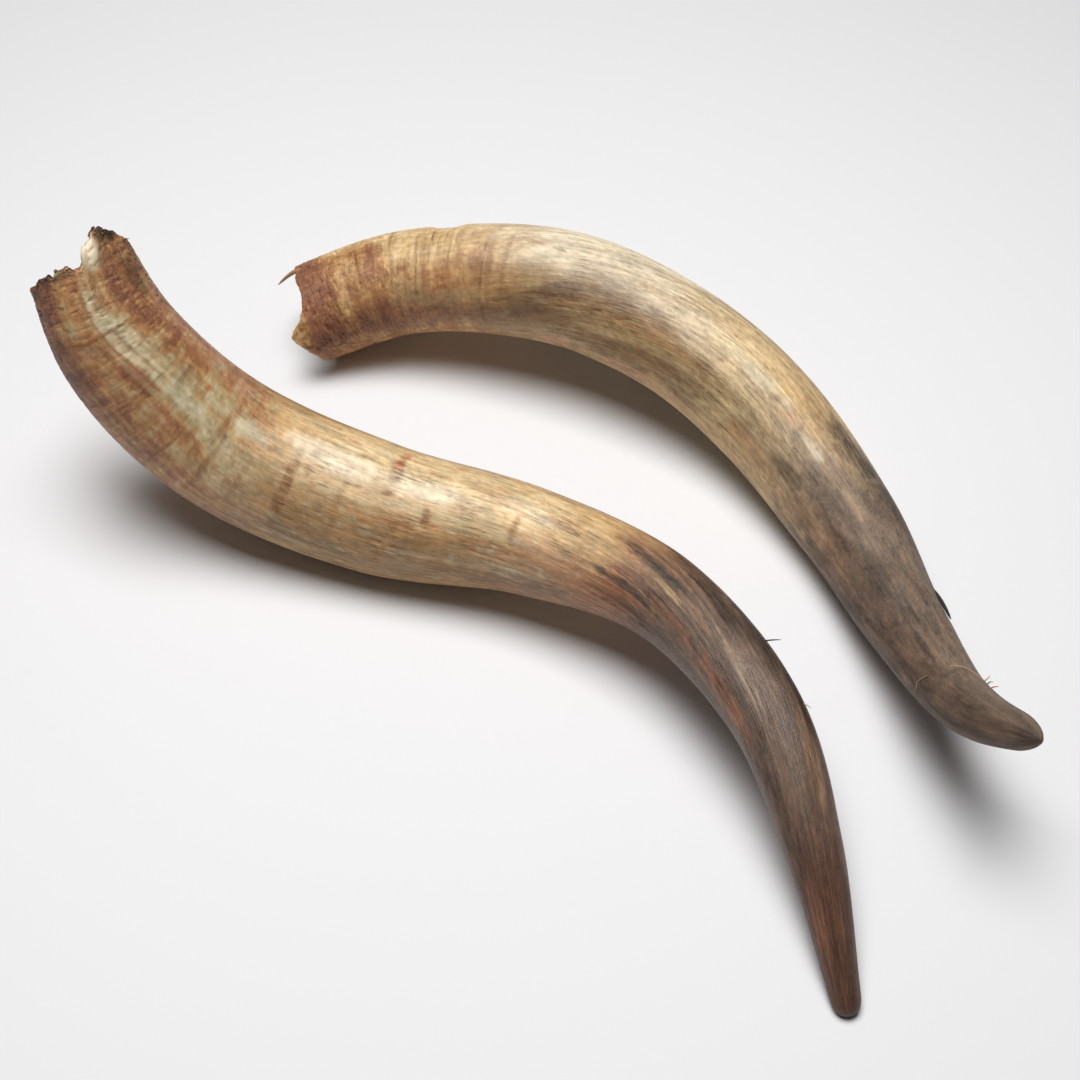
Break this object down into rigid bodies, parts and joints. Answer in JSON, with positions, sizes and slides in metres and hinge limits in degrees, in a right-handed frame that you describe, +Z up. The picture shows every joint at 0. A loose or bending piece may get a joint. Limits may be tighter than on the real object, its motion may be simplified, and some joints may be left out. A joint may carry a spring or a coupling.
{
  "type": "pair of longhorn steer horns",
  "caption": "Pair of loose, twisted longhorn steer horn sheaths with weathered surfaces, hollow at the broken base and solid towards the tapered tip, lying on a flat surface.",
  "frame": {"origin": "on the surface that the pair lies on, under the middle of the pair's bounding box", "axes": "+Z up from the surface, +X to the right as seen from the front horn's side, +Y from the front horn towards the back horn"},
  "size_m": [0.5741, 0.5547, 0.206],
  "materials": {
    "front_horn": "satin",
    "back_horn": "satin"
  },
  "bodies": {
    "root": {"front_horn": "front_horn", "back_horn": "back_horn"}
  },
  "joints": []
}
